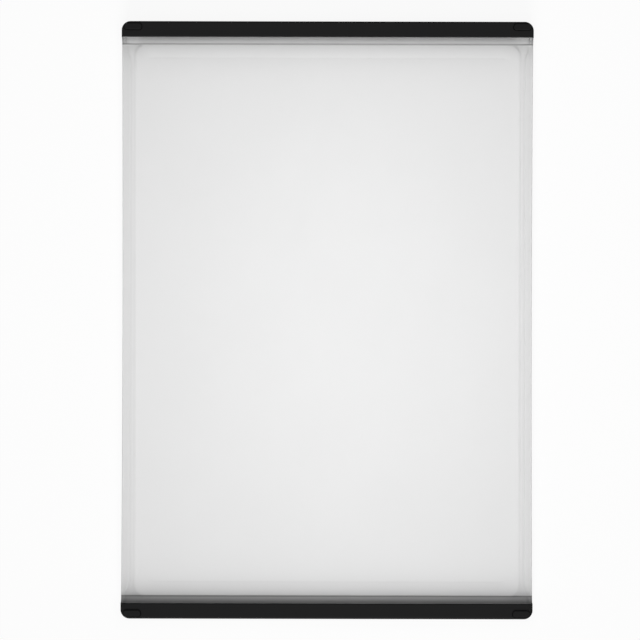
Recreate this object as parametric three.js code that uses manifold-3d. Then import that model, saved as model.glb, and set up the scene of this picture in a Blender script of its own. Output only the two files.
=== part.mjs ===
// Large double-handled carving board: a white moulded panel with a juice channel
// all round its cutting face, a soft black grip locked on to each short end, and
// a non-slip pad let into every corner of both grips, above and below.
//
// Millimetres, +Z up. X runs across the board, Y along it, and the origin is on
// the surface that the board stands on, under its middle.

import * as THREE from 'three';
import { mergeVertices } from 'three/addons/utils/BufferGeometryUtils.js';
import Module from 'manifold-3d';

// Overall sizes, over the grips and their pads
const OVERALL_LENGTH = 546;
const OVERALL_WIDTH = 376.5;
const OVERALL_HEIGHT = 21;

// White panel
const PANEL_THICKNESS = 11;
const PANEL_SIDE_INSET = 0.5;
const PANEL_EDGE_RADIUS = 1.2;
const SHOULDER_RUN = 8.2;
const SHOULDER_CORNER_RADIUS = 1.6;

// Juice channel: a shallow hollow along the sides, a deeper gutter at the grips,
// and a flare in each corner where the one widens into the other
const CHANNEL_RIM = 6.4;
const CHANNEL_WIDTH = 6.8;
const CHANNEL_DEPTH = 0.8;
const CHANNEL_INNER_RADIUS = 10;
const FLARE_RUN = 18;
const GUTTER_SIDE_LIP = 3;
const GUTTER_CORNER_RADIUS = 4;
const GUTTER_DEPTH = 2.2;
const GUTTER_LOW_LINE = 3.4;
const GUTTER_CREST = 0.3;
const DRAIN_RUN = 13;
const DRAIN_FALL = 0.3;

// Soft grips
const GRIP_REACH = 14.3;
const GRIP_CORNER_RADIUS = 8.2;
const GRIP_EDGE_RADIUS = 2;
const GRIP_LIP = 0.5;
const GRIP_WRAP = 0.9;

// Tongue at each end of the panel, and the holes that the grip grows through
const TONGUE_THICKNESS = 8;
const TONGUE_REACH = 9.5;
const TONGUE_SIDE_INSET = 10;
const TONGUE_CORNER_RADIUS = 3;
const LOCK_HOLE_LENGTH = 16;
const LOCK_HOLE_WIDTH = 4;
const LOCK_HOLE_PITCH = 44;
const LOCK_PEG_ROOT = 0.5;

// Corner pads
const PAD_LENGTH = 15.8;
const PAD_WIDTH = 5.6;
const PAD_CORNER_RADIUS = 2.6;
const PAD_EDGE_RADIUS = 0.5;
const PAD_SIDE_MARGIN = 2.5;
const PAD_END_MARGIN = 2.2;
const PAD_STANDOFF = 0.8;
const PAD_SEAT = 1.6;

// Clearance between a piece and its seat
const FIT_GAP = 0.3;

// Round a corner of the panel, a turn of one radian gets as many points as a
// straight stretch of this length
const TURN_SPACING = 8;

// Facets: steps in a quarter turn, round a corner of the panel and in the fine
// copy that it is spaced on, across half of the channel, along the shoulder's
// underside, and in the round ends and corners of the other pieces
const EDGE_STEPS = 4;
const PANEL_CORNER_STEPS = 16;
const PANEL_CORNER_FINE_STEPS = 240;
const CHANNEL_STEPS = 6;
const SHOULDER_STEPS = 4;
const PANEL_SPACE_STEPS = 6;
const GRIP_CORNER_STEPS = 10;
const LOCK_STEPS = 4;
const PAD_STEPS = 6;
const PAD_EDGE_STEPS = 2;

// Levels and places that follow from the sizes above
const MID_LEVEL = OVERALL_HEIGHT / 2;
const GRIP_TOP = OVERALL_HEIGHT - PAD_STANDOFF;
const FACE_LEVEL = MID_LEVEL + PANEL_THICKNESS / 2;
const SHOULDER_LEVEL = GRIP_TOP - GRIP_LIP;
const PANEL_HALF_WIDTH = OVERALL_WIDTH / 2 - PANEL_SIDE_INSET;
const PANEL_END = OVERALL_LENGTH / 2 - GRIP_REACH;
const GUTTER_EDGE = PANEL_END - SHOULDER_RUN;
const GUTTER_WIDTH = SHOULDER_RUN - GUTTER_CREST;
const CHANNEL_OUTER_X = PANEL_HALF_WIDTH - CHANNEL_RIM;
const CHANNEL_INNER_X = CHANNEL_OUTER_X - CHANNEL_WIDTH;
const GUTTER_OUTER_X = PANEL_HALF_WIDTH - GUTTER_SIDE_LIP;
const GUTTER_OUTER_Y = PANEL_END - GUTTER_CREST;
const CORNER_FROM_Y = GUTTER_OUTER_Y - GUTTER_CORNER_RADIUS - FLARE_RUN;
const CORNER_TO_X = CHANNEL_INNER_X - CHANNEL_INNER_RADIUS;

const wasm = await Module();
wasm.setup();

function toSolid(geometry) {
  const bare = geometry.clone();
  bare.deleteAttribute('normal');
  bare.deleteAttribute('uv');
  const merged = mergeVertices(bare);
  return new wasm.Manifold(new wasm.Mesh({
    numProp: 3,
    vertProperties: new Float32Array(merged.attributes.position.array),
    triVerts: new Uint32Array(merged.index.array),
  }));
}

function toGeometry(solid) {
  const mesh = solid.getMesh();
  const geometry = new THREE.BufferGeometry();
  geometry.setAttribute('position', new THREE.BufferAttribute(mesh.vertProperties, 3));
  geometry.setIndex(new THREE.BufferAttribute(mesh.triVerts, 1));
  geometry.computeVertexNormals();
  return geometry;
}

// Joins rings of equally many points end to end, and closes the first and last.
function loft(rings) {
  const count = rings[0].length;
  const index = [];
  for (let ring = 0; ring < rings.length - 1; ring += 1) {
    const here = ring * count;
    const next = here + count;
    for (let i = 0; i < count; i += 1) {
      const j = (i + 1) % count;
      index.push(here + i, next + i, next + j, here + i, next + j, here + j);
    }
  }
  const last = (rings.length - 1) * count;
  for (let i = 1; i < count - 1; i += 1) {
    index.push(0, i, i + 1, last, last + i + 1, last + i);
  }
  const geometry = new THREE.BufferGeometry().setFromPoints(rings.flat());
  geometry.setIndex(index);
  return geometry;
}

function roundedRectangle(halfLength, halfWidth, radius) {
  const shape = new THREE.Shape();
  shape.absarc(halfLength - radius, halfWidth - radius, radius, 0, Math.PI / 2);
  shape.absarc(radius - halfLength, halfWidth - radius, radius, Math.PI / 2, Math.PI);
  shape.absarc(radius - halfLength, radius - halfWidth, radius, Math.PI, Math.PI * 1.5);
  shape.absarc(halfLength - radius, radius - halfWidth, radius, Math.PI * 1.5, Math.PI * 2);
  return shape;
}

// An upright block between two levels. Each arc of its outline gets arcSteps
// steps, which is two for each of the outline's own divisions.
function upright(shape, low, high, arcSteps) {
  const geometry = new THREE.ExtrudeGeometry(shape, {
    depth: high - low,
    bevelEnabled: false,
    curveSegments: arcSteps / 2,
  });
  return geometry.translate(0, 0, low);
}

// Like upright, with its top and bottom edges rounded inside the outline.
function uprightRounded(shape, low, high, arcSteps, radius, edgeSteps) {
  const geometry = new THREE.ExtrudeGeometry(shape, {
    depth: high - low - 2 * radius,
    bevelThickness: radius,
    bevelSize: radius,
    bevelOffset: -radius,
    bevelSegments: edgeSteps,
    curveSegments: arcSteps / 2,
  });
  return geometry.translate(0, 0, low + radius);
}

// Panel

// An edge that turns one corner of the board, from its long side to its grip.
function plainCorner(halfWidth, halfLength, radius) {
  const path = new THREE.Path();
  path.moveTo(halfWidth, CORNER_FROM_Y - PANEL_END + halfLength);
  path.lineTo(halfWidth, halfLength - radius);
  path.absarc(halfWidth - radius, halfLength - radius, radius, 0, Math.PI / 2);
  path.lineTo(CORNER_TO_X - PANEL_HALF_WIDTH + halfWidth, halfLength);
  return path;
}

// Inner edge of the channel, where the flat face ends.
function channelInnerCorner() {
  const path = new THREE.Path();
  const radius = CHANNEL_INNER_RADIUS;
  path.moveTo(CHANNEL_INNER_X, CORNER_FROM_Y);
  path.lineTo(CHANNEL_INNER_X, GUTTER_EDGE - radius);
  path.absarc(CHANNEL_INNER_X - radius, GUTTER_EDGE - radius, radius, 0, Math.PI / 2);
  return path;
}

// Outer edge of the channel, which flares out to the gutter's narrow side lip.
function channelOuterCorner() {
  const path = new THREE.Path();
  const radius = GUTTER_CORNER_RADIUS;
  const flareMiddle = CORNER_FROM_Y + FLARE_RUN / 2;
  const flareEnd = CORNER_FROM_Y + FLARE_RUN;
  path.moveTo(CHANNEL_OUTER_X, CORNER_FROM_Y);
  path.bezierCurveTo(
    CHANNEL_OUTER_X, flareMiddle, GUTTER_OUTER_X, flareMiddle, GUTTER_OUTER_X, flareEnd,
  );
  path.absarc(GUTTER_OUTER_X - radius, flareEnd, radius, 0, Math.PI / 2);
  path.lineTo(CORNER_TO_X, GUTTER_OUTER_Y);
  return path;
}

// Points along a corner, spaced by its length and by how far it turns, so that
// tight bends keep their shape.
function cornerPoints(path) {
  const fine = path.getSpacedPoints(PANEL_CORNER_FINE_STEPS);
  const marks = [0];
  let heading = fine[1].clone().sub(fine[0]);
  for (let i = 1; i < fine.length; i += 1) {
    const stride = fine[i].clone().sub(fine[i - 1]);
    marks.push(marks[i - 1] + stride.length() + TURN_SPACING * heading.angleTo(stride));
    heading = stride;
  }
  const points = [];
  let leg = 0;
  for (let step = 0; step <= PANEL_CORNER_STEPS; step += 1) {
    const mark = marks[PANEL_CORNER_FINE_STEPS] * step / PANEL_CORNER_STEPS;
    while (leg < PANEL_CORNER_FINE_STEPS - 1 && marks[leg + 1] < mark) {
      leg += 1;
    }
    const along = (mark - marks[leg]) / (marks[leg + 1] - marks[leg]);
    points.push(fine[leg].clone().lerp(fine[leg + 1], along));
  }
  return points;
}

// An edge all round the board, from its path round one corner.
function roundBoard(path) {
  const corner = cornerPoints(path);
  const back = [...corner].reverse();
  return [
    ...corner,
    ...back.map(({ x, y }) => new THREE.Vector2(-x, y)),
    ...corner.map(({ x, y }) => new THREE.Vector2(-x, -y)),
    ...back.map(({ x, y }) => new THREE.Vector2(x, -y)),
  ];
}

// How near a point of such an edge is to a grip: 0 on a long side, 1 on a short one.
function nearnessToGrip(index) {
  const inCorner = index % (2 * PANEL_CORNER_STEPS + 2);
  const fromSide = Math.min(inCorner, 2 * PANEL_CORNER_STEPS + 1 - inCorner);
  return THREE.MathUtils.smoothstep(fromSide, 0, PANEL_CORNER_STEPS);
}

// Rise of the shoulder, on both faces, as the panel nears a grip.
function shoulderRise(y) {
  const along = THREE.MathUtils.clamp((Math.abs(y) - GUTTER_EDGE) / SHOULDER_RUN, 0, 1);
  return (SHOULDER_LEVEL - FACE_LEVEL) * along ** 2;
}

// Fall of the face's last stretch, which drains to the gutter.
function drainFall(y) {
  return DRAIN_FALL * Math.max(0, (Math.abs(y) - GUTTER_EDGE + DRAIN_RUN) / DRAIN_RUN);
}

// Height of the channel's floor. It rolls over its inner edge and falls to its
// lowest line, then rolls up again on a side, or sweeps up to a grip.
function channelHeight(fromLow, isInner, toGrip, innerEdge, outerEdge) {
  const low = FACE_LEVEL - THREE.MathUtils.lerp(CHANNEL_DEPTH, GUTTER_DEPTH, toGrip);
  const rolled = THREE.MathUtils.smoothstep(fromLow, 0, 1);
  if (isInner) {
    return low + (innerEdge - low) * rolled;
  }
  return low + (outerEdge - low) * THREE.MathUtils.lerp(rolled, fromLow ** 2, toGrip);
}

// Rings of points that run along the channel, from its inner to its outer edge.
// Its lowest line keeps a set distance from the outer edge.
function channelRings() {
  const inner = roundBoard(channelInnerCorner());
  const outer = roundBoard(channelOuterCorner());
  const rings = [];
  for (let step = 0; step <= 2 * CHANNEL_STEPS; step += 1) {
    const isInner = step < CHANNEL_STEPS;
    const fromLow = Math.abs(step / CHANNEL_STEPS - 1);
    rings.push(inner.map((from, index) => {
      const to = outer[index];
      const toGrip = nearnessToGrip(index);
      const lowFromOuter = THREE.MathUtils.lerp(
        CHANNEL_WIDTH / 2, GUTTER_WIDTH - GUTTER_LOW_LINE, toGrip,
      );
      const lowLine = 1 - lowFromOuter / from.distanceTo(to);
      const across = isInner ? lowLine * (1 - fromLow) : lowLine + (1 - lowLine) * fromLow;
      const at = from.clone().lerp(to, across);
      const innerEdge = FACE_LEVEL - drainFall(from.y);
      const outerEdge = FACE_LEVEL + shoulderRise(to.y);
      const height = channelHeight(fromLow, isInner, toGrip, innerEdge, outerEdge);
      return new THREE.Vector3(at.x, at.y, height);
    }));
  }
  return rings;
}

// Rings round the panel's edge, which is rounded above and below.
function edgeRings() {
  const rings = [];
  for (const face of [1, -1]) {
    for (let step = 0; step <= EDGE_STEPS; step += 1) {
      const turn = (face > 0 ? step : EDGE_STEPS - step) / EDGE_STEPS * Math.PI / 2;
      const inset = PANEL_EDGE_RADIUS * (1 - Math.sin(turn));
      const drop = PANEL_EDGE_RADIUS * (1 - Math.cos(turn));
      const path = plainCorner(PANEL_HALF_WIDTH - inset, PANEL_END, SHOULDER_CORNER_RADIUS);
      rings.push(roundBoard(path).map(({ x, y }) => {
        const halfHeight = PANEL_THICKNESS / 2 + shoulderRise(y) - drop;
        return new THREE.Vector3(x, y, MID_LEVEL + face * halfHeight);
      }));
    }
  }
  return rings;
}

// Rings on the underside, in from its edge to where the shoulder ends.
function undersideRings() {
  const rings = [];
  for (let step = 1; step <= SHOULDER_STEPS; step += 1) {
    const inset = SHOULDER_RUN * step / SHOULDER_STEPS;
    const halfWidth = PANEL_HALF_WIDTH - PANEL_EDGE_RADIUS - inset;
    const path = plainCorner(halfWidth, PANEL_END - inset, SHOULDER_CORNER_RADIUS);
    rings.push(roundBoard(path).map(({ x, y }) => (
      new THREE.Vector3(x, y, MID_LEVEL - PANEL_THICKNESS / 2 - shoulderRise(y))
    )));
  }
  return rings;
}

// The panel without its tongues, lofted from the flat of its face outwards, down
// round its edge and in again below.
function panelBlank() {
  const flat = plainCorner(
    CHANNEL_INNER_X - CHANNEL_WIDTH, GUTTER_EDGE - DRAIN_RUN, CHANNEL_INNER_RADIUS,
  );
  const flatRing = roundBoard(flat).map(({ x, y }) => new THREE.Vector3(x, y, FACE_LEVEL));
  return loft([flatRing, ...channelRings(), ...edgeRings(), ...undersideRings()]);
}

function lockHoleCentres() {
  const span = OVERALL_WIDTH - 2 * TONGUE_SIDE_INSET - LOCK_HOLE_LENGTH - LOCK_HOLE_WIDTH * 2;
  const count = Math.floor(span / LOCK_HOLE_PITCH) + 1;
  return Array.from({ length: count }, (_, i) => (i - (count - 1) / 2) * LOCK_HOLE_PITCH);
}

const LOCK_HOLE_FROM_CENTRE = PANEL_END + TONGUE_REACH / 2;

// Both tongues, which run through the panel as one plate. Grown by the clearance,
// it is the space that the grips leave for them.
function tonguePlate(grown) {
  const halfWidth = OVERALL_WIDTH / 2 - TONGUE_SIDE_INSET + grown;
  const halfLength = PANEL_END + TONGUE_REACH + grown;
  const halfThickness = TONGUE_THICKNESS / 2 + grown;
  const outline = roundedRectangle(halfWidth, halfLength, TONGUE_CORNER_RADIUS + grown);
  return toSolid(upright(outline, MID_LEVEL - halfThickness, MID_LEVEL + halfThickness, LOCK_STEPS));
}

// A row of long round-ended pegs, for the lock holes and for what fills them.
function lockPegs(end, smaller, halfHeight) {
  const halfWidth = LOCK_HOLE_WIDTH / 2 - smaller;
  const outline = roundedRectangle(LOCK_HOLE_LENGTH / 2 - smaller, halfWidth, halfWidth);
  const peg = upright(outline, MID_LEVEL - halfHeight, MID_LEVEL + halfHeight, LOCK_STEPS);
  return lockHoleCentres().map((x) => (
    toSolid(peg.clone().translate(x, end * LOCK_HOLE_FROM_CENTRE, 0))
  ));
}

function boardPanel() {
  let panel = toSolid(panelBlank()).add(tonguePlate(0));
  for (const end of [1, -1]) {
    for (const hole of lockPegs(end, 0, TONGUE_THICKNESS)) {
      panel = panel.subtract(hole);
    }
  }
  return toGeometry(panel);
}

// Grips

const PAD_PLACE = {
  x: OVERALL_WIDTH / 2 - PAD_SIDE_MARGIN - PAD_LENGTH / 2,
  y: OVERALL_LENGTH / 2 - PAD_END_MARGIN - PAD_WIDTH / 2,
};

// Space that a pad sits in, on the upper or the lower face of a grip.
function padPocket(end, side, face) {
  const outline = roundedRectangle(
    PAD_LENGTH / 2 + FIT_GAP,
    PAD_WIDTH / 2 + FIT_GAP,
    PAD_CORNER_RADIUS + FIT_GAP,
  );
  const floor = GRIP_TOP - MID_LEVEL - PAD_SEAT - FIT_GAP;
  const mouth = OVERALL_HEIGHT;
  const pocket = upright(outline, face > 0 ? floor : -mouth, face > 0 ? mouth : -floor, PAD_STEPS);
  return toSolid(pocket.translate(side * PAD_PLACE.x, end * PAD_PLACE.y, MID_LEVEL));
}

function grip(end) {
  const whole = roundedRectangle(OVERALL_WIDTH / 2, OVERALL_LENGTH / 2, GRIP_CORNER_RADIUS);
  const low = OVERALL_HEIGHT - GRIP_TOP;
  const blank = toSolid(
    uprightRounded(whole, low, GRIP_TOP, GRIP_CORNER_STEPS, GRIP_EDGE_RADIUS, EDGE_STEPS),
  );
  const inward = new THREE.BoxGeometry(
    2 * OVERALL_WIDTH,
    2 * OVERALL_LENGTH,
    2 * OVERALL_HEIGHT,
  );
  inward.translate(0, end * (PANEL_END - GRIP_WRAP - OVERALL_LENGTH), MID_LEVEL);
  const panelOutline = roundedRectangle(
    PANEL_HALF_WIDTH + FIT_GAP,
    PANEL_END + FIT_GAP,
    SHOULDER_CORNER_RADIUS + FIT_GAP,
  );
  const panelSpace = upright(panelOutline, -OVERALL_HEIGHT, 2 * OVERALL_HEIGHT, PANEL_SPACE_STEPS);
  let solid = blank.subtract(toSolid(inward)).subtract(toSolid(panelSpace));
  solid = solid.subtract(tonguePlate(FIT_GAP));
  const pegHalfHeight = TONGUE_THICKNESS / 2 + FIT_GAP + LOCK_PEG_ROOT;
  for (const peg of lockPegs(end, FIT_GAP, pegHalfHeight)) {
    solid = solid.add(peg);
  }
  for (const side of [1, -1]) {
    solid = solid.subtract(padPocket(end, side, 1)).subtract(padPocket(end, side, -1));
  }
  return toGeometry(solid);
}

// Pads

function cornerPad() {
  const outline = roundedRectangle(PAD_LENGTH / 2, PAD_WIDTH / 2, PAD_CORNER_RADIUS);
  const top = OVERALL_HEIGHT - MID_LEVEL;
  const bottom = top - PAD_STANDOFF - PAD_SEAT;
  return uprightRounded(outline, bottom, top, PAD_STEPS, PAD_EDGE_RADIUS, PAD_EDGE_STEPS);
}

// Assembly

const PANEL_WHITE = { color: 0xeff0f0, roughness: 0.42, metalness: 0 };
const GRIP_BLACK = { color: 0x1b1c1e, roughness: 0.72, metalness: 0 };
const PAD_BLACK = { color: 0x222325, roughness: 0.82, metalness: 0 };

const carvingBoard = new THREE.Group();

function addPiece(name, geometry, finish) {
  const mesh = new THREE.Mesh(geometry, new THREE.MeshStandardMaterial(finish));
  mesh.name = name;
  carvingBoard.add(mesh);
  return mesh;
}

addPiece('board_panel', boardPanel(), PANEL_WHITE);
addPiece('far_grip', grip(1), GRIP_BLACK);
addPiece('near_grip', grip(-1), GRIP_BLACK);

for (const [faceName, face] of [['upper', 1], ['lower', -1]]) {
  for (const [endName, end] of [['far', 1], ['near', -1]]) {
    for (const [sideName, side] of [['left', -1], ['right', 1]]) {
      const pad = addPiece(`${faceName}_${endName}_${sideName}_pad`, cornerPad(), PAD_BLACK);
      pad.rotation.x = face > 0 ? 0 : Math.PI;
      pad.position.set(side * PAD_PLACE.x, end * PAD_PLACE.y, MID_LEVEL);
    }
  }
}

export default carvingBoard;
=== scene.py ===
"""Looks of a large carving board: a white moulded panel, soft black grips and corner pads.

It is laid out as a Blender add-on. Lengths are metres, in the frame of the packed model:
X runs across the board, Y along it, and Z up out of its cutting face.
"""

import math

import bpy
from bpy.props import FloatProperty, FloatVectorProperty, IntProperty, PointerProperty
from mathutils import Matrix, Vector


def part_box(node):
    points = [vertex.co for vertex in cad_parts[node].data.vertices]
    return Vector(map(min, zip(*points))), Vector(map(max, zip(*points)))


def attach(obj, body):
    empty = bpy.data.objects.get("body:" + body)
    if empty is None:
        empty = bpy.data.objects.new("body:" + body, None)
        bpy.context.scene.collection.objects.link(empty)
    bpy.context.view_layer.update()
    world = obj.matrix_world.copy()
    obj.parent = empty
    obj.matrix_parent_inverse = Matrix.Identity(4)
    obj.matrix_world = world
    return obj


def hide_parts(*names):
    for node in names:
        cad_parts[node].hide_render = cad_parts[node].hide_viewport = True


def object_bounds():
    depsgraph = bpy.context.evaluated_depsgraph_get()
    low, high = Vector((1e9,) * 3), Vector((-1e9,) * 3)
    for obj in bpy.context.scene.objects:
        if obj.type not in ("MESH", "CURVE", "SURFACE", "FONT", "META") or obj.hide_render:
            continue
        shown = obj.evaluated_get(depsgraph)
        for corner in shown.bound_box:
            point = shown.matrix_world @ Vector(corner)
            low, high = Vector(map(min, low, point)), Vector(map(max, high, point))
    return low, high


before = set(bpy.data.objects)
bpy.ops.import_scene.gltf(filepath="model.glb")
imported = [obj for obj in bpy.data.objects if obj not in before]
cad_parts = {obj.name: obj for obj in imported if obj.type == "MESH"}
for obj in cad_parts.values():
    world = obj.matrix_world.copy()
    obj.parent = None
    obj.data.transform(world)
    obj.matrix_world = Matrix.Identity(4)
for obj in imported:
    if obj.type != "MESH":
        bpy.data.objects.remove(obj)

bl_info = {
    "name": "Carving board",
    "version": (1, 0, 0),
    "blender": (4, 5, 0),
    "location": "3D View > Sidebar > Carving board",
    "description": "Models a white carving board with a juice channel and soft black end grips",
    "category": "Add Mesh",
}

BODY = "root"

# Boxes of the packed model, which the pieces keep to
CAD_LOW, CAD_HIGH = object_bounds()
PANEL_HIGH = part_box("board_panel")[1]
GRIP_LOW, GRIP_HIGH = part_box("far_grip")
PAD_LOW, PAD_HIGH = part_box("upper_far_right_pad")
MID_LEVEL = (CAD_LOW.z + CAD_HIGH.z) / 2

# Steps round one corner of the board, along half of a long side, across half of the
# channel, round an edge, along the shoulder's underside, along each stretch of a path
# before spacing, and round a small edge. Along a path, a turn of one radian counts as
# much as TURN_SPACING.
CORNER_STEPS = 40
SIDE_STEPS = 8
CHANNEL_STEPS = 12
EDGE_STEPS = 8
SHOULDER_STEPS = 8
PATH_STEPS = 48
SMALL_EDGE_STEPS = 4
TURN_SPACING = 0.008

# Angle past which an edge is shaded sharp
SHARP_ANGLE = math.radians(40)

# How late the curl at a grip sets in
CURL_POWER = 4

# Shares of a narrow section that its lip and its rounded edge may take up
NARROW_LIP = 0.25
NARROW_EDGE = 0.9

WHITE = (1.0, 1.0, 1.0, 1.0)
BLACK = (0.0, 0.0, 0.0, 1.0)

# Shade is painted into the white beside the grips. Beside a grip it takes a share of the
# white, which comes back over a reach. A gutter keeps less white, from the grip to the end
# of its fade. On the edges and the underside that painted shade fades out over a longer stretch.
GRIP_SHADE = 0.52
GRIP_SHADE_REACH = 0.0115
GRIP_WHITE = 0.17
GUTTER_WHITE = 0.57
GUTTER_FADE = 0.005
SIDE_FADE = 0.02

# Shares of white taken by painted shade in a hollow, in a hollow beside a grip, in the crease
# between a gutter and the face, and on the rims, with the lengths over which the last two
# fade, and the share of the channel's width that the rims' painted shade reaches into
HOLLOW_SHADE = 0.03
HOLLOW_GRIP_SHADE = 0.2
CREASE_SHADE = 0.46
CREASE_FADE = 0.001
RIM_SHADE = 0.085
RIM_FADE = 0.0018
RIM_REACH = 0.55

# Clouds, satin patches and grain of the panel, and rubbed places and pebbles of the
# elastomer: their lengths, depths and detail, and how far the tone and the roughness wander
CLOUD_LENGTH = 0.09
CLOUD_LOSS = 0.024
CLOUD_DETAIL = 3.0
PATCH_LENGTH = 0.03
PATCH_SPREAD = 0.05
PATCH_DETAIL = 4.0
SATIN_GRAIN = 0.0007
SATIN_DEPTH = 0.000004
RUB_LENGTH = 0.02
RUB_SHARE = 0.15
RUB_SPREAD = 0.06
RUB_DETAIL = 4.0
PEBBLE_GRAIN = 0.0005
PEBBLE_DEPTH = 0.00001
GRAIN_DETAIL = 2.0


# Settings that a user would change

def length(name, description, default):
    return FloatProperty(
        name=name, description=description, default=default, min=0.0, precision=5, unit="LENGTH",
    )


def share(name, description, default):
    return FloatProperty(
        name=name, description=description, default=default, min=0.0, max=1.0, subtype="FACTOR",
    )


def amount(name, description, default, subtype="NONE"):
    return FloatProperty(name=name, description=description, default=default, subtype=subtype)


def colour(name, description, default):
    return FloatVectorProperty(
        name=name, description=description, default=default, min=0.0, max=1.0, subtype="COLOR",
    )


class PanelShape(bpy.types.PropertyGroup):
    """Sizes of the white panel and its juice channel."""

    half_width: length("Half width", "From the middle to a long side, at a grip", GRIP_HIGH.x - 0.0002)
    waist: length("Waist", "How far a long side sinks in halfway between the grips", 0.0008)
    end: length("End", "From the middle to where a grip starts", CAD_HIGH.y - 0.0143)
    thickness: length("Thickness", "Between the two flat faces", 0.011)
    shoulder_level: length("Shoulder level", "Height of the crest at a grip", GRIP_HIGH.z - 0.0008)
    shoulder_run: length("Shoulder run", "Length over which the panel rises to a grip", 0.0075)
    corner_radius: length("Corner radius", "Of the panel's corners in plan", 0.0008)
    edge_radius: length("Edge radius", "Of the long edges", 0.0012)
    channel_rim: length("Channel rim", "Flat strip outside the channel", 0.0067)
    channel_width: length("Channel width", "Of the hollow along a side", 0.0068)
    channel_wall: length("Channel wall", "Width of the rolled wall beside the face", 0.003)
    channel_edge_wall: length("Channel edge wall", "Width of the crisper wall beside the rim", 0.001)
    channel_depth: length("Channel depth", "Of the hollow along a side", 0.0005)
    inner_radius: length("Inner radius", "Of the flat face's corners", 0.010)
    flare_run: length("Flare run", "Length over which the channel widens", 0.014)
    gutter_side_lip: length("Gutter side lip", "Left standing at each end of a gutter", 0.0033)
    gutter_corner_radius: length("Gutter corner radius", "Of a gutter's outer corners", 0.002)
    gutter_low_line: length("Gutter low line", "From the gutter's inner edge", 0.0006)
    gutter_crest: length("Gutter crest", "Flat strip between gutter and grip", 0.0003)
    gutter_curl: share("Gutter curl", "Share of its rise that a gutter makes in a curl at the grip", 0.1)
    ramp_run: length("Ramp run", "Last stretch of the face, which rises to the gutter", 0.013)
    ramp_rise: length("Ramp rise", "How far that stretch rises", 0.0003)
    score_width: length("Score width", "Of the faint line where that stretch starts", 0.0026)
    score_depth: length("Score depth", "Of the faint line where that stretch starts", 0.00025)


class LockShape(bpy.types.PropertyGroup):
    """Sizes of the tongue at each end of the panel, and of what locks a grip on to it."""

    tongue_half_width: length("Tongue half width", "From the middle", CAD_HIGH.x - 0.010)
    tongue_end: length("Tongue end", "From the middle", PANEL_HIGH.y)
    tongue_thickness: length("Tongue thickness", "Between its flat faces", 0.008)
    tongue_radius: length("Tongue radius", "Of its corners", 0.003)
    hole_length: length("Hole length", "Of each slot that the grip grows through", 0.016)
    hole_width: length("Hole width", "Of each slot that the grip grows through", 0.004)
    hole_pitch: length("Hole pitch", "Between neighbouring slots", 0.044)
    hole_count: IntProperty(name="Hole count", description="Slots in one tongue", default=8, min=1)
    fit_gap: length("Fit gap", "Clearance between a piece and its seat", 0.0003)
    peg_root: length("Peg root", "How far a peg runs into the grip", 0.0005)


class GripShape(bpy.types.PropertyGroup):
    """Sizes of the two soft grips."""

    half_width: length("Half width", "From the middle to a side", GRIP_HIGH.x)
    end: length("End", "From the middle to the grip's outer face", GRIP_HIGH.y)
    tip: length("Tip", "From the middle to where the grip's wrap ends", GRIP_LOW.y + 0.0008)
    top: length("Top", "Height of the upper face", GRIP_HIGH.z)
    corner_radius: length("Corner radius", "Of the outer corners in plan", 0.0082)
    edge_radius: length("Edge radius", "Of the outer edges", 0.002)
    lip_radius: length("Lip radius", "Of the edges that meet the panel", 0.0004)


class PadShape(bpy.types.PropertyGroup):
    """Sizes of the eight corner pads and their pockets."""

    half_length: length("Half length", "Along the grip", (PAD_HIGH.x - PAD_LOW.x) / 2)
    half_width: length("Half width", "Across the grip", (PAD_HIGH.y - PAD_LOW.y) / 2)
    corner_radius: length("Corner radius", "Of its ends in plan", 0.0026)
    edge_radius: length("Edge radius", "Of its upper edge", 0.0005)
    pocket_gap: length("Pocket gap", "Left open all round the pad", 0.00045)
    pocket_lip: length("Pocket lip", "Rounding of the pocket's mouth", 0.0005)


class BoardFinish(bpy.types.PropertyGroup):
    """Colours and surfaces of the board."""

    white: colour("White", "Milky polypropylene of the panel", (0.88, 0.88, 0.88))
    white_roughness: share("White roughness", "Satin of the moulded panel", 0.42)
    white_scatter: length("White scatter", "How far light travels inside the panel", 0.0025)
    grip_black: colour("Grip black", "Soft elastomer of the grips", (0.0068, 0.0069, 0.0070))
    grip_roughness: share("Grip roughness", "Of the soft-touch surface", 0.70)
    pad_black: colour("Pad black", "Non-slip elastomer of the pads", (0.0078, 0.0079, 0.0080))
    pad_roughness: share("Pad roughness", "Of the non-slip surface", 0.78)
    black_gloss: share("Black gloss", "Specular level of grips and pads", 0.1)


class StageSettings(bpy.types.PropertyGroup):
    """Camera, floor and lamps."""

    picture_pixels: IntProperty(
        name="Picture", description="Pixels on a side", default=640, min=1, subtype="PIXEL",
    )
    middle_across: amount("Middle across", "Pixel over the board's middle", 327.15, "PIXEL")
    middle_down: amount("Middle down", "Pixel over the board's middle", 320.2, "PIXEL")
    pixel_length: length("Pixel length", "Length that one pixel covers on the cutting face", 0.0009147)
    camera_height: length("Camera height", "Above the floor", 2.2)
    camera_roll: amount("Camera roll", "Turn about its own axis", 0.0021, "ANGLE")
    softbox_height: length("Softbox height", "Of the lamp over the board", 0.72)
    softbox_offset: length("Softbox offset", "To the right of the board's middle", 0.02)
    softbox_across: length("Softbox across", "Its size along X", 0.28)
    softbox_along: length("Softbox along", "Its size along Y", 0.6)
    softbox_power: amount("Softbox power", "Of the lamp over the board", 2.45, "POWER")
    key_elevation: amount("Key elevation", "Of the lamp beyond the near grip", math.radians(23), "ANGLE")
    key_strength: amount("Key strength", "Of the lamp beyond the near grip", 3.3)
    key_spread: amount("Key spread", "Width of that lamp as the board sees it", math.radians(28), "ANGLE")
    room_light: amount("Room light", "Even light from all round", 0.073)
    floor_size: length("Floor size", "Side of the floor", 6.0)
    floor_colour: colour("Floor colour", "Pale floor", (0.9, 0.9, 0.9))
    floor_white: share("Floor white", "Share of plain white that the camera sees in the floor", 0.92)


# Meshes

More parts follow.
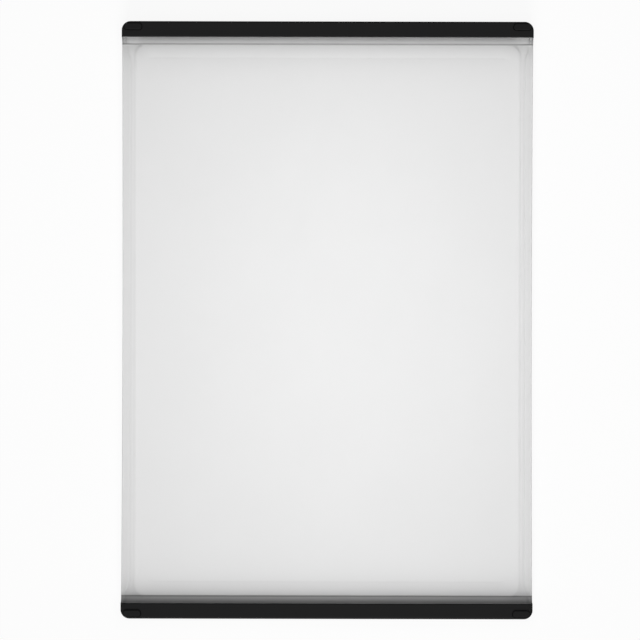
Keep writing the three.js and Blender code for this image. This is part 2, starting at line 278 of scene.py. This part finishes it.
def loft(name, rings):
    """Joins rings of equally many points into one closed mesh."""
    count = len(rings[0])
    faces = []
    for ring in range(len(rings) - 1):
        here = ring * count
        there = here + count
        for index in range(count):
            after = (index + 1) % count
            faces.append((here + index, there + index, there + after, here + after))
    last = (len(rings) - 1) * count
    faces.append(tuple(range(count)))
    faces.append(tuple(last + index for index in reversed(range(count))))
    mesh = bpy.data.meshes.new(name)
    mesh.from_pydata([point for ring in rings for point in ring], [], faces)
    mesh.validate()
    piece = bpy.data.objects.new(name, mesh)
    bpy.context.scene.collection.objects.link(piece)
    return piece


def quarter_angles(steps):
    """Angles of a quarter turn, in equal steps."""
    return [math.pi / 2 * step / steps for step in range(steps + 1)]


def quarter_turn(centre, radius, steps):
    """Points of an arc that starts facing along X and ends facing along Y."""
    turns = quarter_angles(steps)
    return [centre + radius * Vector((math.cos(turn), math.sin(turn))) for turn in turns]


def spaced(path, steps):
    """Points along a path, spaced by its length and its turns so that tight bends keep their shape."""
    marks = [0.0]
    heading = path[1] - path[0]
    for here, there in zip(path, path[1:]):
        stride = there - here
        marks.append(marks[-1] + stride.length + TURN_SPACING * heading.angle(stride))
        heading = stride
    points = []
    leg = 0
    for step in range(steps + 1):
        mark = marks[-1] * step / steps
        while leg < len(path) - 2 and marks[leg + 1] < mark:
            leg += 1
        past_leg = (mark - marks[leg]) / (marks[leg + 1] - marks[leg])
        points.append(path[leg].lerp(path[leg + 1], past_leg))
    return points


def round_board(path):
    """An edge all round the board, from its path round one corner."""
    side = [Vector((path[0].x, path[0].y * (step + 0.5) / SIDE_STEPS)) for step in range(SIDE_STEPS)]
    corner = [*side, *spaced(path, CORNER_STEPS)]
    back = corner[::-1]
    far_left = [Vector((-point.x, point.y)) for point in back]
    near_left = [-point for point in corner]
    near_right = [Vector((point.x, -point.y)) for point in back]
    return corner + far_left + near_left + near_right


def rounded_rectangle(centre, half_length, half_width, radius, steps):
    """Outline of a rounded rectangle, anticlockwise."""
    points = []
    for corner in range(4):
        side = 1 if corner in (0, 3) else -1
        end = 1 if corner < 2 else -1
        middle = centre + Vector((side * (half_length - radius), end * (half_width - radius)))
        for step in range(steps + 1):
            turn = math.pi / 2 * (corner + step / steps)
            points.append(middle + radius * Vector((math.cos(turn), math.sin(turn))))
    return points


def facing(point, centre):
    """Direction that a rounded corner faces at a point, or that of the straight beside it."""
    return Vector((max(point.x - centre.x, 0.0), max(point.y - centre.y, 0.0))).normalized()


def beyond_corner(point, centre, radius):
    """Distance outwards from a rounded corner, or from the straight beside it."""
    return math.hypot(max(point.x - centre.x, 0.0), max(point.y - centre.y, 0.0)) - radius


def at_level(outline, level):
    return [Vector((point.x, point.y, level)) for point in outline]


def turned_over(ring):
    """A ring mirrored to the other face of the board."""
    return [Vector((point.x, point.y, 2 * MID_LEVEL - point.z)) for point in ring]


def plate(name, outline, half_height):
    """A plate that reaches as far above the board's middle as below it."""
    return loft(name, [at_level(outline, MID_LEVEL + face * half_height) for face in (1, -1)])


def carve(piece, cutter, operation):
    """Joins or cuts a piece with another closed mesh, which is then removed."""
    modifier = piece.modifiers.new(cutter.name, "BOOLEAN")
    modifier.operation = operation
    modifier.solver = "EXACT"
    modifier.object = cutter
    depsgraph = bpy.context.evaluated_depsgraph_get()
    carved = bpy.data.meshes.new_from_object(piece.evaluated_get(depsgraph))
    piece.modifiers.clear()
    plain, piece.data = piece.data, carved
    bpy.data.meshes.remove(plain)
    bpy.data.meshes.remove(cutter.data)


def smooth(piece):
    """Shades curved faces smooth, with flat faces kept flat beside them."""
    piece.data.shade_smooth()
    piece.data.set_sharp_from_angle(angle=SHARP_ANGLE)
    modifier = piece.modifiers.new("flat faces first", "WEIGHTED_NORMAL")
    modifier.keep_sharp = True


def seat(piece, node, finish):
    """Puts a finished piece in the place of its packed solid."""
    smooth(piece)
    piece.data.materials.clear()
    piece.data.materials.append(finish)
    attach(piece, BODY)
    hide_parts(node)


# White panel

def clamp(value):
    return min(max(value, 0.0), 1.0)


def ease(value):
    """Smooth step from 0 to 1."""
    value = clamp(value)
    return value * value * (3 - 2 * value)


def mix(low, high, factor):
    return low + (high - low) * factor


class PanelSurfaces:
    """Edges and heights of the panel, from its sizes."""

    def __init__(self, shape):
        self.shape = shape
        self.face = MID_LEVEL + shape.thickness / 2
        self.gutter_edge = shape.end - shape.shoulder_run
        self.gutter_width = shape.shoulder_run - shape.gutter_crest
        self.channel_outer = shape.half_width - shape.channel_rim
        self.channel_inner = self.channel_outer - shape.channel_width
        self.gutter_outer = shape.half_width - shape.gutter_side_lip
        self.gutter_end = shape.end - shape.gutter_crest
        self.corner_from = self.gutter_edge - shape.flare_run
        self.corner_to = self.channel_inner - shape.inner_radius

    def plain_corner(self, half_width, half_length, radius):
        """An edge that turns one corner of the board, from its long side to its grip."""
        start = Vector((half_width, self.corner_from - self.shape.end + half_length))
        stop = Vector((self.corner_to - self.shape.half_width + half_width, half_length))
        centre = Vector((half_width - radius, half_length - radius))
        return [start, *quarter_turn(centre, radius, PATH_STEPS), stop]

    def channel_inner_corner(self):
        """Inner edge of the channel, where the flat face ends."""
        radius = self.shape.inner_radius
        centre = Vector((self.channel_inner - radius, self.gutter_edge - radius))
        start = Vector((self.channel_inner, self.corner_from))
        return [start, *quarter_turn(centre, radius, PATH_STEPS)]

    def channel_outer_corner(self):
        """Outer edge of the channel, which flares out to the gutter's narrow side lip."""
        radius = self.shape.gutter_corner_radius
        shares = [step / PATH_STEPS for step in range(PATH_STEPS)]
        flare = [mix(self.corner_from, self.gutter_edge, along) for along in shares]
        centre = Vector((self.gutter_outer - radius, self.gutter_end - radius))
        return [
            *[Vector((self.channel_edge(y), y)) for y in flare],
            Vector((self.gutter_outer, self.gutter_edge)),
            *quarter_turn(centre, radius, PATH_STEPS),
            Vector((self.corner_to, self.gutter_end)),
        ]

    def channel_edge(self, y):
        """How far out the channel reaches on a long side."""
        along = (abs(y) - self.corner_from) / self.shape.flare_run
        return mix(self.channel_outer, self.gutter_outer, ease(along))

    def beyond_face(self, x, y):
        """Distance outwards from the rounded outline of the flat face."""
        radius = self.shape.inner_radius
        centre = Vector((self.channel_inner - radius, self.gutter_edge - radius))
        return beyond_corner(Vector((abs(x), abs(y))), centre, radius)

    def face_level(self, y):
        """Height of the cutting face, whose last stretch rises to the gutter."""
        along = (abs(y) - self.gutter_edge + self.shape.ramp_run) / self.shape.ramp_run
        return self.face + self.shape.ramp_rise * clamp(along)

    def shoulder_rise(self, y):
        """Rise of the shoulder, on both faces, as the panel nears a grip."""
        along = clamp((abs(y) - self.gutter_edge) / self.shape.shoulder_run)
        return (self.shape.shoulder_level - self.face) * along ** 2

    def level(self, face, y):
        """Height of the panel's upper or lower skin outside the channel."""
        return MID_LEVEL + face * (self.shape.thickness / 2 + self.shoulder_rise(y))

    def channel_height(self, x, y):
        """Height of the channel: a hollow round the face, and a gutter that sweeps up to a grip."""
        shape = self.shape
        beyond = self.beyond_face(x, min(abs(y), self.gutter_edge))
        hollow = self.face_level(y) - shape.channel_depth * ease(beyond / shape.channel_wall)
        past_low_line = abs(y) - self.gutter_edge - shape.gutter_low_line
        sweep = clamp(past_low_line / (self.gutter_width - shape.gutter_low_line))
        curled = mix(sweep, sweep ** CURL_POWER, shape.gutter_curl)
        swept = mix(hollow, shape.shoulder_level, curled)
        from_rim = self.channel_edge(y) - abs(x)
        return mix(self.level(1, y), swept, ease(from_rim / shape.channel_edge_wall))

    def channel_point(self, inner, outer, to_grip, across):
        """A point of the channel: -1 is its inner edge, 0 its lowest line, 1 its outer edge."""
        shape = self.shape
        low_from_outer = mix(shape.channel_width / 2, self.gutter_width - shape.gutter_low_line, to_grip)
        low_line = 1 - low_from_outer / (outer - inner).length
        share_across = low_line * (1 + across) if across < 0 else mix(low_line, 1.0, across)
        flat = inner.lerp(outer, share_across)
        return Vector((flat.x, flat.y, self.channel_height(flat.x, flat.y)))

    def channel_rings(self):
        """Rings that run along the channel, from its inner to its outer edge."""
        inner = round_board(self.channel_inner_corner())
        outer = round_board(self.channel_outer_corner())
        nearness = self.nearness_to_grip()
        rings = []
        for step in range(2 * CHANNEL_STEPS + 1):
            across = step / CHANNEL_STEPS - 1
            columns = zip(inner, outer, nearness)
            rings.append([self.channel_point(*column, across) for column in columns])
        return rings

    def waisted(self, point):
        """A point of the edge, moved in as the long sides sink in between the grips."""
        sunk = self.shape.waist * (1 - (point.y / self.shape.end) ** 2)
        return Vector((point.x - math.copysign(sunk, point.x), point.y))

    def edge_rings(self):
        """Rings round the panel's edge, which is rounded above and below."""
        shape = self.shape
        rings = []
        turns = quarter_angles(EDGE_STEPS)
        for face, order in ((1, turns), (-1, turns[::-1])):
            for turn in order:
                inset = shape.edge_radius * (1 - math.sin(turn))
                drop = shape.edge_radius * (1 - math.cos(turn))
                outline = round_board(
                    self.plain_corner(shape.half_width - inset, shape.end, shape.corner_radius)
                )
                rings.append([
                    Vector((p.x, p.y, self.level(face, p.y) - face * drop))
                    for p in map(self.waisted, outline)
                ])
        return rings

    def underside_rings(self):
        """Rings on the underside, in from its edge to where the shoulder ends."""
        shape = self.shape
        rings = []
        for step in range(1, SHOULDER_STEPS + 1):
            inset = shape.shoulder_run * step / SHOULDER_STEPS
            half_width = shape.half_width - shape.edge_radius - inset
            outline = round_board(
                self.plain_corner(half_width, shape.end - inset, shape.corner_radius)
            )
            rings.append([
                Vector((p.x, p.y, self.level(-1, p.y))) for p in map(self.waisted, outline)
            ])
        return rings

    def rings(self):
        """All rings, from the flat of the face outwards, round the edge and in again below."""
        shape = self.shape
        flat = self.plain_corner(
            self.channel_inner - shape.channel_width,
            self.gutter_edge - shape.ramp_run,
            shape.inner_radius,
        )
        face = at_level(round_board(flat), self.face)
        channel = self.channel_rings()
        score = self.score_rings(face, channel[0])
        return [face, *score, *channel, *self.edge_rings(), *self.underside_rings()]

    def score_rings(self, flat, ramped):
        """Rings of the faint line across each end of the face, where it starts to rise."""
        half = self.shape.score_width / 2 / self.shape.ramp_run
        nearness = self.nearness_to_grip()
        rings = []
        for along, depth in ((half, self.shape.score_depth), (2 * half, 0.0)):
            columns = zip(flat, ramped, nearness)
            rings.append([
                start.lerp(stop, along) - Vector((0, 0, depth * near)) for start, stop, near in columns
            ])
        return rings

    @staticmethod
    def nearness_to_grip():
        """For each point of a ring: 0 on a long side, and 1 on a short one."""
        up = [0.0] * SIDE_STEPS + [ease(step / CORNER_STEPS) for step in range(CORNER_STEPS + 1)]
        return (up + up[::-1]) * 2


def tongue_plate(lock, grown):
    """Both tongues, which run through the panel as one plate."""
    outline = rounded_rectangle(
        Vector((0, 0)),
        lock.tongue_half_width + grown,
        lock.tongue_end + grown,
        lock.tongue_radius + grown,
        SMALL_EDGE_STEPS,
    )
    return plate("tongue_plate", outline, lock.tongue_thickness / 2 + grown)


def lock_peg(lock, panel_end, end, number, smaller, half_height):
    """A slot of a tongue, or the peg that fills it."""
    across = (number - (lock.hole_count - 1) / 2) * lock.hole_pitch
    centre = Vector((across, end * (panel_end + lock.tongue_end) / 2))
    half_width = lock.hole_width / 2 - smaller
    outline = rounded_rectangle(
        centre, lock.hole_length / 2 - smaller, half_width, half_width, SMALL_EDGE_STEPS,
    )
    return plate("lock_peg", outline, half_height)


# Soft grips

def round_over(radius, depth):
    """Drop of a rounded edge at a depth in from it."""
    inwards = min(depth / radius, 1.0)
    return radius * (1 - math.sqrt(1 - (1 - inwards) ** 2))


def grip_section(inner, outer, inner_wall, outer_wall, shape):
    """One section through a grip: up its inner wall, over its top, and down its outer face."""
    across = outer - inner
    from_inner = across.dot(facing(inner, inner_wall[0]))
    to_outer = across.dot(facing(outer, outer_wall[0]))
    lip = min(shape.lip_radius, from_inner * NARROW_LIP)
    rounded = min(shape.edge_radius, to_outer * (1 - lip / from_inner) * NARROW_EDGE)
    places = []
    for turn in quarter_angles(SMALL_EDGE_STEPS):
        places.append(lip * (1 - math.cos(turn)) / from_inner)
    for turn in quarter_angles(EDGE_STEPS):
        places.append(1 - rounded * (1 - math.sin(turn)) / to_outer)
    upper = []
    for place in places:
        flat = inner.lerp(outer, place)
        lip_drop = round_over(lip, max(beyond_corner(flat, *inner_wall), 0.0))
        edge_drop = round_over(shape.edge_radius, max(-beyond_corner(flat, *outer_wall), 0.0))
        upper.append(Vector((flat.x, flat.y, shape.top - lip_drop - edge_drop)))
    return upper + turned_over(reversed(upper))


def grip_corner(panel, shape, gap):
    """Sections of a far grip from its right tip to the straight stretch along its end."""
    inner_radius = panel.corner_radius + gap
    inner_centre = Vector((panel.half_width + gap - inner_radius, panel.end + gap - inner_radius))
    outer_centre = Vector((shape.half_width - shape.corner_radius, shape.end - shape.corner_radius))
    straight = min(inner_centre.x, outer_centre.x) - shape.edge_radius
    inner_turn = [p for p in quarter_turn(inner_centre, inner_radius, PATH_STEPS) if p.y > shape.tip]
    reach = math.sqrt(inner_radius ** 2 - (shape.tip - inner_centre.y) ** 2)
    inner_start = Vector((inner_centre.x + reach, shape.tip))
    inner_path = [inner_start, *inner_turn, Vector((straight, panel.end + gap))]
    outer_turn = quarter_turn(outer_centre, shape.corner_radius, PATH_STEPS)
    outer_path = [Vector((shape.half_width, shape.tip)), *outer_turn, Vector((straight, shape.end))]
    inner_wall = (inner_centre, inner_radius)
    outer_wall = (outer_centre, shape.corner_radius)
    paths = zip(spaced(inner_path, CORNER_STEPS), spaced(outer_path, CORNER_STEPS))
    return [grip_section(inner, outer, inner_wall, outer_wall, shape) for inner, outer in paths]


def grip_body(name, end, panel, shape, gap):
    """One grip before anything is cut, lofted from tip to tip."""
    right = grip_corner(panel, shape, gap)
    left = [[Vector((-p.x, p.y, p.z)) for p in section] for section in reversed(right)]
    sections = right + left
    if end < 0:
        sections = [[Vector((p.x, -p.y, p.z)) for p in section] for section in reversed(sections)]
    return loft(name, sections)


def pad_outline(shape, centre, grown):
    return rounded_rectangle(
        centre,
        shape.half_length + grown,
        shape.half_width + grown,
        shape.corner_radius + grown,
        EDGE_STEPS,
    )


def pad_pocket(shape, centre, face, floor_gap, grip_top):
    """Space that a pad sits in, with a mouth that is rounded over."""
    gap = shape.pocket_gap
    levels = [(gap, PAD_LOW.z - floor_gap)]
    for turn in quarter_angles(SMALL_EDGE_STEPS)[:-1]:
        spread = gap + shape.pocket_lip * (1 - math.cos(turn))
        levels.append((spread, grip_top - shape.pocket_lip * (1 - math.sin(turn))))
    levels.append((gap + shape.pocket_lip, CAD_HIGH.z))
    rings = [at_level(pad_outline(shape, centre, grown), level) for grown, level in reversed(levels)]
    if face < 0:
        rings = [turned_over(ring) for ring in reversed(rings)]
    return loft("pad_pocket", rings)


# Corner pads

def pad_places(end):
    """Where the four pads of one grip sit: their middles, and the face that they stand on."""
    middle = (PAD_LOW + PAD_HIGH) / 2
    return [
        (Vector((side * middle.x, end * middle.y)), face) for side in (-1, 1) for face in (1, -1)
    ]


def corner_pad(name, shape, centre, face):
    """One pad, with a soft upper edge."""
    levels = []
    for turn in quarter_angles(EDGE_STEPS):
        inset = shape.edge_radius * (1 - math.sin(turn))
        levels.append((-inset, PAD_HIGH.z - shape.edge_radius * (1 - math.cos(turn))))
    levels.append((0.0, PAD_LOW.z))
    rings = [at_level(pad_outline(shape, centre, grown), level) for grown, level in levels]
    if face < 0:
        rings = [turned_over(ring) for ring in reversed(rings)]
    return loft(name, rings)


# Finishes

class Wire:
    """A shader socket that Python sums can use: each step adds a Math node."""

    def __init__(self, graph, socket):
        self.graph = graph
        self.socket = socket

    def maths(self, operation, *values):
        return self.graph.node("ShaderNodeMath", {"operation": operation}, dict(enumerate(values)))

    def __add__(self, other):
        return self.maths("ADD", self, other)

    def __sub__(self, other):
        return self.maths("SUBTRACT", self, other)

    def __rsub__(self, other):
        return self.maths("SUBTRACT", other, self)

    def __mul__(self, other):
        return self.maths("MULTIPLY", self, other)

    def __truediv__(self, other):
        return self.maths("DIVIDE", self, other)

    def __rtruediv__(self, other):
        return self.maths("DIVIDE", other, self)

    def __abs__(self):
        return self.maths("ABSOLUTE", self)

    def exponential(self):
        return self.maths("EXPONENT", self)

    def most(self, other):
        return self.maths("MAXIMUM", self, other)

    __radd__ = __add__
    __rmul__ = __mul__


class Graph:
    """Shader nodes of a material or of the world."""

    def __init__(self, owner):
        owner.use_nodes = True
        self.tree = owner.node_tree
        self.tree.nodes.clear()

    def node(self, kind, settings=None, inputs=None, output=0):
        """Adds a node: its settings first, then the values or links of its sockets."""
        node = self.tree.nodes.new(kind)
        for name, value in (settings or {}).items():
            setattr(node, name, value)
        for key, value in (inputs or {}).items():
            if isinstance(value, Wire):
                self.tree.links.new(value.socket, node.inputs[key])
            else:
                node.inputs[key].default_value = value
        return Wire(self, node.outputs[output]) if node.outputs else None

    def place(self):
        """Where the surface lies, in the frame of the packed model."""
        return self.node("ShaderNodeTexCoord", output="Object")

    def axis(self, name):
        """One coordinate of that place."""
        return self.node("ShaderNodeSeparateXYZ", {}, {0: self.place()}, output=name)

    def between(self, value, start, stop):
        """Smooth step from 0, where a value is at its start, to 1."""
        inputs = {"Value": value, "From Min": start, "From Max": stop}
        return self.node("ShaderNodeMapRange", {"interpolation_type": "SMOOTHSTEP"}, inputs)

    def noise(self, grain, detail):
        """Even noise with lumps of about that length."""
        inputs = {"Vector": self.place(), "Scale": 1 / grain, "Detail": detail}
        return self.node("ShaderNodeTexNoise", {}, inputs)

    def mix_colours(self, factor, first, second):
        settings = {"data_type": "RGBA"}
        return self.node("ShaderNodeMix", settings, {0: factor, 6: first, 7: second}, output=2)

    def bump(self, height, depth):
        inputs = {"Strength": 1.0, "Distance": depth, "Height": height}
        return self.node("ShaderNodeBump", {}, inputs)

    def surface(self, **inputs):
        """Ends the material with one Principled surface."""
        shader = self.node("ShaderNodeBsdfPrincipled", {}, {
            name.replace("_", " "): value for name, value in inputs.items()
        })
        self.node("ShaderNodeOutputMaterial", {}, {"Surface": shader})


def opaque(colour_value):
    return (*colour_value, 1.0)


def wander(middle, spread, noise):
    """A value that a noise moves up and down from its middle."""
    return middle - spread + noise * (2 * spread)


def crease_place(panel):
    """Distance from a grip to the crease where its gutter meets the face."""
    return panel.shoulder_run - 2 * panel.gutter_low_line


def upper_skin(graph, panel):
    """1 on the panel's upper skin, and 0 on its edges and its underside."""
    skin = MID_LEVEL + panel.thickness / 2 - panel.edge_radius
    return graph.between(graph.axis("Z"), skin - panel.edge_radius, skin)


def grip_shade_white(graph, panel, upper):
    """Share of white left under the shade painted beside a grip and in its gutter."""
    from_grip = panel.end - abs(graph.axis("Y"))
    fade = (from_grip / -GRIP_SHADE_REACH).exponential()
    in_gutter = mix(GRIP_WHITE, GUTTER_WHITE, graph.between(from_grip, 0.0, GUTTER_FADE))
    past_gutter = graph.between(from_grip, crease_place(panel), panel.shoulder_run)
    past_shoulder = graph.between(from_grip, 0.0, SIDE_FADE)
    return (1 - fade * GRIP_SHADE) * mix(in_gutter, 1.0, mix(past_shoulder, past_gutter, upper))


def gutter_crease(graph, panel):
    """1 along the crease where a gutter meets the face, where a dark line of shade is painted."""
    from_grip = panel.end - abs(graph.axis("Y"))
    place = crease_place(panel)
    near_side = graph.between(from_grip, place - CREASE_FADE, place)
    return near_side * graph.between(from_grip, panel.shoulder_run, place)


def side_rim(graph, panel):
    """1 on the rim outside the channel, where shade is painted, which fades into the channel and out at
    the edge.
    """
    across = abs(graph.axis("X"))
    along = abs(graph.axis("Y"))
    gutter_edge = panel.end - panel.shoulder_run
    flare = graph.between(along, gutter_edge - panel.flare_run, gutter_edge)
    widened = flare * (panel.channel_rim - panel.gutter_side_lip)
    rim_from = panel.half_width - panel.channel_rim - panel.channel_width * RIM_REACH
    inner_side = graph.between(across - widened, rim_from, rim_from + RIM_FADE)
    sunk = (1 - along * along / panel.end ** 2) * panel.waist
    return inner_side * graph.between(across + sunk, panel.half_width, panel.half_width - RIM_FADE)


def channel_hollow(graph, panel):
    """1 at the bottom of the channel, where shade is painted, and 0 on the face."""
    gutter_edge = panel.end - panel.shoulder_run
    ramp = graph.node("ShaderNodeMapRange", {}, {
        "Value": abs(graph.axis("Y")),
        "From Min": gutter_edge - panel.ramp_run,
        "From Max": gutter_edge,
    })
    face = MID_LEVEL + panel.thickness / 2 + ramp * panel.ramp_rise
    return graph.between(face - graph.axis("Z"), 0.0, panel.channel_depth)


def painted_shade_white(graph, panel):
    """Share of white left in the panel under painted shade: less near the grips, in hollows and on the
    rims.
    """
    upper = upper_skin(graph, panel)
    white = grip_shade_white(graph, panel, upper)
    rim = side_rim(graph, panel)
    hollow_shade = HOLLOW_SHADE + (1 - white) * HOLLOW_GRIP_SHADE
    painted_shades = (
        gutter_crease(graph, panel) * CREASE_SHADE,
        channel_hollow(graph, panel) * (1 - rim) * hollow_shade,
        rim * RIM_SHADE,
    )
    for painted_shade in painted_shades:
        white = white * (1 - upper * painted_shade)
    return white


def white_finish(finish, panel):
    """Satin milky polypropylene, with shade painted into its colour near the grips, in hollows and on the
    rims.
    """
    material = bpy.data.materials.new("milky_white_panel")
    graph = Graph(material)
    cloud = graph.noise(CLOUD_LENGTH, CLOUD_DETAIL)
    cloudy = opaque([part * (1 - CLOUD_LOSS) for part in finish.white])
    clouded = graph.mix_colours(cloud, cloudy, opaque(finish.white))
    patches = graph.noise(PATCH_LENGTH, PATCH_DETAIL)
    graph.surface(
        # Painted shade: the white is mixed towards black near the grips, in the hollows, creases and on
        # the rims.
        Base_Color=graph.mix_colours(painted_shade_white(graph, panel), BLACK, clouded),
        Roughness=wander(finish.white_roughness, PATCH_SPREAD, patches),
        Normal=graph.bump(graph.noise(SATIN_GRAIN, GRAIN_DETAIL), SATIN_DEPTH),
        Subsurface_Weight=1.0,
        Subsurface_Radius=(1.0, 1.0, 1.0),
        Subsurface_Scale=finish.white_scatter,
    )
    return material


def black_finish(name, colour_value, roughness, gloss):
    """Soft-touch black elastomer with a fine pebbled skin."""
    material = bpy.data.materials.new(name)
    graph = Graph(material)
    rub = graph.noise(RUB_LENGTH, RUB_DETAIL)
    dark = opaque([part * (1 - RUB_SHARE) for part in colour_value])
    light = opaque([part * (1 + RUB_SHARE) for part in colour_value])
    graph.surface(
        Base_Color=graph.mix_colours(rub, dark, light),
        Roughness=wander(roughness, RUB_SPREAD, rub),
        Normal=graph.bump(graph.noise(PEBBLE_GRAIN, GRAIN_DETAIL), PEBBLE_DEPTH),
        Specular_IOR_Level=gloss,
    )
    return material


def seen_directly(graph):
    """1 where the camera, a gloss or a clear piece looks at the stage, and 0 for its light."""
    camera = graph.node("ShaderNodeLightPath", output="Is Camera Ray")
    glossy = graph.node("ShaderNodeLightPath", output="Is Glossy Ray")
    clear = graph.node("ShaderNodeLightPath", output="Is Transmission Ray")
    return camera.most(glossy).most(clear)


def floor_finish(stage):
    """Pale floor that keeps the board's shadow, mostly plain white to the camera."""
    material = bpy.data.materials.new("pale_floor")
    graph = Graph(material)
    lit = graph.node("ShaderNodeBsdfDiffuse", {}, {"Color": opaque(stage.floor_colour)})
    white = graph.node("ShaderNodeEmission", {}, {"Color": WHITE, "Strength": 1.0})
    factor = seen_directly(graph) * stage.floor_white
    floor = graph.node("ShaderNodeMixShader", {}, {0: factor, 1: lit, 2: white})
    graph.node("ShaderNodeOutputMaterial", {}, {"Surface": floor})
    return material


def room(stage):
    """Even light from all round, seen as plain white."""
    world = bpy.data.worlds.new("white_room")
    graph = Graph(world)
    light = graph.node("ShaderNodeBackground", {}, {"Color": WHITE, "Strength": stage.room_light})
    white = graph.node("ShaderNodeBackground", {}, {"Color": WHITE, "Strength": 1.0})
    seen = graph.node("ShaderNodeMixShader", {}, {0: seen_directly(graph), 1: light, 2: white})
    graph.node("ShaderNodeOutputWorld", {}, {"Surface": seen})
    return world


# Operators

class BOARD_OT_panel(bpy.types.Operator):
    """Models the white panel with its juice channel and its two tongues"""

    bl_idname = "carving_board.panel"
    bl_label = "White panel"

    def execute(self, context):
        shape = context.scene.board_panel_shape
        lock = context.scene.board_lock_shape
        panel = loft("panel_moulding", PanelSurfaces(shape).rings())
        carve(panel, tongue_plate(lock, 0.0), "UNION")
        for end in (1, -1):
            for number in range(lock.hole_count):
                peg = lock_peg(lock, shape.end, end, number, 0.0, lock.tongue_thickness)
                carve(panel, peg, "DIFFERENCE")
        seat(panel, "board_panel", white_finish(context.scene.board_finish, shape))
        return {"FINISHED"}


class BOARD_OT_grips(bpy.types.Operator):
    """Models the soft grip at each end, with its lock pegs and its pad pockets"""

    bl_idname = "carving_board.grips"
    bl_label = "Soft grips"

    def execute(self, context):
        scene = context.scene
        panel = scene.board_panel_shape
        shape = scene.board_grip_shape
        lock = scene.board_lock_shape
        look = scene.board_finish
        finish = black_finish("soft_black_grip", look.grip_black, look.grip_roughness, look.black_gloss)
        half_height = lock.tongue_thickness / 2 + lock.fit_gap + lock.peg_root
        for node, end in (("far_grip", 1), ("near_grip", -1)):
            grip = grip_body(f"{node}_moulding", end, panel, shape, lock.fit_gap)
            carve(grip, tongue_plate(lock, lock.fit_gap), "DIFFERENCE")
            for number in range(lock.hole_count):
                peg = lock_peg(lock, panel.end, end, number, lock.fit_gap, half_height)
                carve(grip, peg, "UNION")
            for centre, face in pad_places(end):
                pocket = pad_pocket(scene.board_pad_shape, centre, face, lock.fit_gap, shape.top)
                carve(grip, pocket, "DIFFERENCE")
            seat(grip, node, finish)
        return {"FINISHED"}


class BOARD_OT_pads(bpy.types.Operator):
    """Models the eight non-slip corner pads"""

    bl_idname = "carving_board.pads"
    bl_label = "Corner pads"

    def execute(self, context):
        look = context.scene.board_finish
        finish = black_finish("non_slip_pad", look.pad_black, look.pad_roughness, look.black_gloss)
        for end, end_name in ((1, "far"), (-1, "near")):
            for centre, face in pad_places(end):
                face_name = "upper" if face > 0 else "lower"
                side_name = "right" if centre.x > 0 else "left"
                node = f"{face_name}_{end_name}_{side_name}_pad"
                pad = corner_pad(f"{node}_moulding", context.scene.board_pad_shape, centre, face)
                seat(pad, node, finish)
        return {"FINISHED"}


class BOARD_OT_stage(bpy.types.Operator):
    """Sets the floor, the lamps and the camera above the board"""

    bl_idname = "carving_board.stage"
    bl_label = "Stage"

    def execute(self, context):
        stage = context.scene.board_stage
        self.make_floor(stage)
        self.make_lamps(stage)
        self.make_camera(context.scene, stage)
        context.scene.world = room(stage)
        context.scene.view_settings.view_transform = "Standard"
        return {"FINISHED"}

    def make_floor(self, stage):
        half = stage.floor_size / 2
        mesh = bpy.data.meshes.new("floor")
        corners = [(-half, -half, 0), (half, -half, 0), (half, half, 0), (-half, half, 0)]
        mesh.from_pydata(corners, [], [(0, 1, 2, 3)])
        mesh.materials.append(floor_finish(stage))
        floor = bpy.data.objects.new("floor", mesh)
        bpy.context.scene.collection.objects.link(floor)

    def make_lamps(self, stage):
        softbox = bpy.data.lights.new("softbox", "AREA")
        softbox.shape = "RECTANGLE"
        softbox.size = stage.softbox_across
        softbox.size_y = stage.softbox_along
        softbox.energy = stage.softbox_power
        lamp = bpy.data.objects.new("softbox", softbox)
        lamp.location = (stage.softbox_offset, 0, stage.softbox_height)
        key = bpy.data.lights.new("key", "SUN")
        key.energy = stage.key_strength
        key.angle = stage.key_spread
        key_lamp = bpy.data.objects.new("key", key)
        key_lamp.rotation_euler = (math.pi / 2 - stage.key_elevation, 0, 0)
        for item in (lamp, key_lamp):
            bpy.context.scene.collection.objects.link(item)

    def make_camera(self, scene, stage):
        camera = bpy.data.cameras.new("camera")
        face = MID_LEVEL + scene.board_panel_shape.thickness / 2
        picture_width = stage.picture_pixels * stage.pixel_length
        camera.lens = camera.sensor_width * (stage.camera_height - face) / picture_width
        camera.shift_x = 0.5 - stage.middle_across / stage.picture_pixels
        camera.shift_y = stage.middle_down / stage.picture_pixels - 0.5
        holder = bpy.data.objects.new("camera", camera)
        holder.location = (0, 0, stage.camera_height)
        holder.rotation_euler = (0, 0, stage.camera_roll)
        scene.collection.objects.link(holder)
        scene.camera = holder


class BOARD_PT_sidebar(bpy.types.Panel):
    """Lists the board's pieces and settings"""

    bl_idname = "BOARD_PT_sidebar"
    bl_label = "Carving board"
    bl_space_type = "VIEW_3D"
    bl_region_type = "UI"
    bl_category = "Carving board"

    def draw(self, context):
        for operator in OPERATORS:
            self.layout.operator(operator.bl_idname)
        for name, group in GROUPS.items():
            settings = getattr(context.scene, name)
            box = self.layout.box()
            box.label(text=group.__doc__)
            for field in group.__annotations__:
                box.prop(settings, field)


GROUPS = {
    "board_panel_shape": PanelShape,
    "board_lock_shape": LockShape,
    "board_grip_shape": GripShape,
    "board_pad_shape": PadShape,
    "board_finish": BoardFinish,
    "board_stage": StageSettings,
}
OPERATORS = (BOARD_OT_panel, BOARD_OT_grips, BOARD_OT_pads, BOARD_OT_stage)
CLASSES = (*GROUPS.values(), *OPERATORS, BOARD_PT_sidebar)


def register():
    for cls in CLASSES:
        bpy.utils.register_class(cls)
    for name, group in GROUPS.items():
        setattr(bpy.types.Scene, name, PointerProperty(type=group))


def unregister():
    for name in GROUPS:
        delattr(bpy.types.Scene, name)
    for cls in reversed(CLASSES):
        bpy.utils.unregister_class(cls)


def main():
    register()
    bpy.ops.carving_board.panel()
    bpy.ops.carving_board.grips()
    bpy.ops.carving_board.pads()
    bpy.ops.carving_board.stage()


if __name__ == "__main__":
    main()
